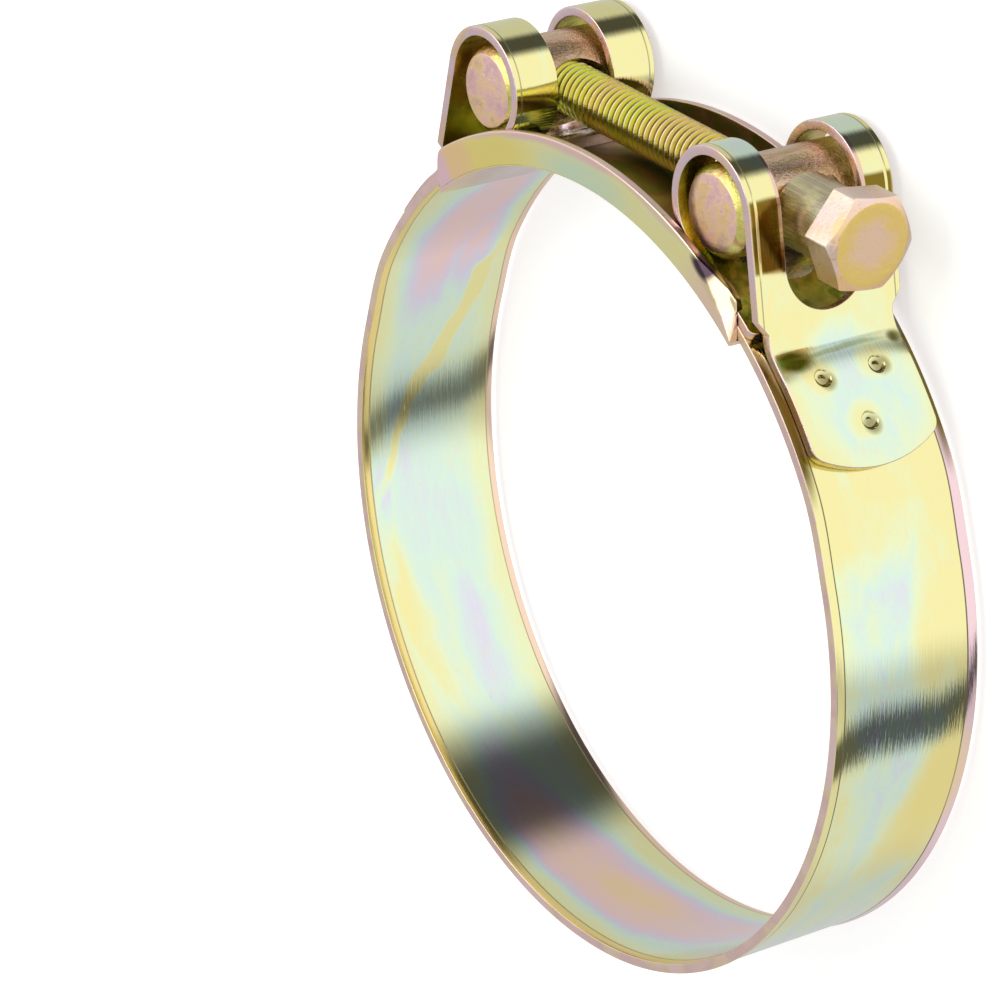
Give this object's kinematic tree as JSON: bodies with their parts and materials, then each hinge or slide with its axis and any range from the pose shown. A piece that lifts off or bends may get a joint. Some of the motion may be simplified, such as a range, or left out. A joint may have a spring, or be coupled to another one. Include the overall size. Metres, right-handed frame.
{
  "type": "bolt hose clamp",
  "caption": "Heavy-duty hose clamp: a steel band closed round a hose by a hex bolt between two cross pins held in folded looped brackets, over a flanged bridge plate.",
  "frame": {"origin": "centre of the band's bore at mid width", "axes": "+Z along the bore axis, up as the clamp lies on its side; +Y toward the gap that the bolt closes; +X toward the bolt's head"},
  "size_m": [0.1234, 0.1367, 0.0274],
  "materials": {
    "band": "yellow-passivated zinc plate, glossy",
    "bridge": "yellow-passivated zinc plate, glossy",
    "bolt_side_bracket": "yellow-passivated zinc plate, glossy",
    "nut_side_bracket": "yellow-passivated zinc plate, glossy",
    "plain_trunnion": "yellow-passivated zinc plate, glossy",
    "threaded_trunnion": "yellow-passivated zinc plate, glossy",
    "bolt": "yellow-passivated zinc plate, glossy",
    "spacer_sleeve": "yellow-passivated zinc plate, glossy"
  },
  "bodies": {
    "clamp_frame": {"band": "band", "bridge": "bridge", "bolt_side_bracket": "bolt_side_bracket"},
    "nut_side": {"nut_side_bracket": "nut_side_bracket"},
    "head_pin": {"plain_trunnion": "plain_trunnion"},
    "nut_pin": {"threaded_trunnion": "threaded_trunnion"},
    "bolt": {"bolt": "bolt"},
    "sleeve": {"spacer_sleeve": "spacer_sleeve"}
  },
  "joints": [
    {"name": "bolt_spin", "type": "hinge", "parent": "head_pin", "child": "bolt", "pos_m": [0.02772, 0.06531, 0], "axis": [-1, 0, 0], "range_deg": [0, 6775]},
    {"name": "band_close", "type": "hinge", "parent": "clamp_frame", "child": "nut_side", "pos_m": [0, 0, 0], "axis": [0, 0, -1], "range_deg": [0, 20], "deforming": ["band"]},
    {"name": "head_pin_turn", "type": "hinge", "parent": "clamp_frame", "child": "head_pin", "pos_m": [0.02772, 0.06531, 0], "axis": [0, 0, -1], "range_deg": [0, 10]},
    {"name": "nut_pin_turn", "type": "hinge", "parent": "nut_side", "child": "nut_pin", "pos_m": [-0.02772, 0.06531, 0], "axis": [0, 0, 1], "range_deg": [0, 10]},
    {"name": "sleeve_spin", "type": "hinge", "parent": "head_pin", "child": "sleeve", "pos_m": [0.02772, 0.06531, 0], "axis": [1, 0, 0], "continuous": true}
  ],
  "couplings": [
    {"joint": "band_close", "follows": "bolt_spin", "ratio": 0.002952},
    {"joint": "head_pin_turn", "follows": "bolt_spin", "ratio": 0.001476},
    {"joint": "nut_pin_turn", "follows": "bolt_spin", "ratio": 0.001476}
  ]
}
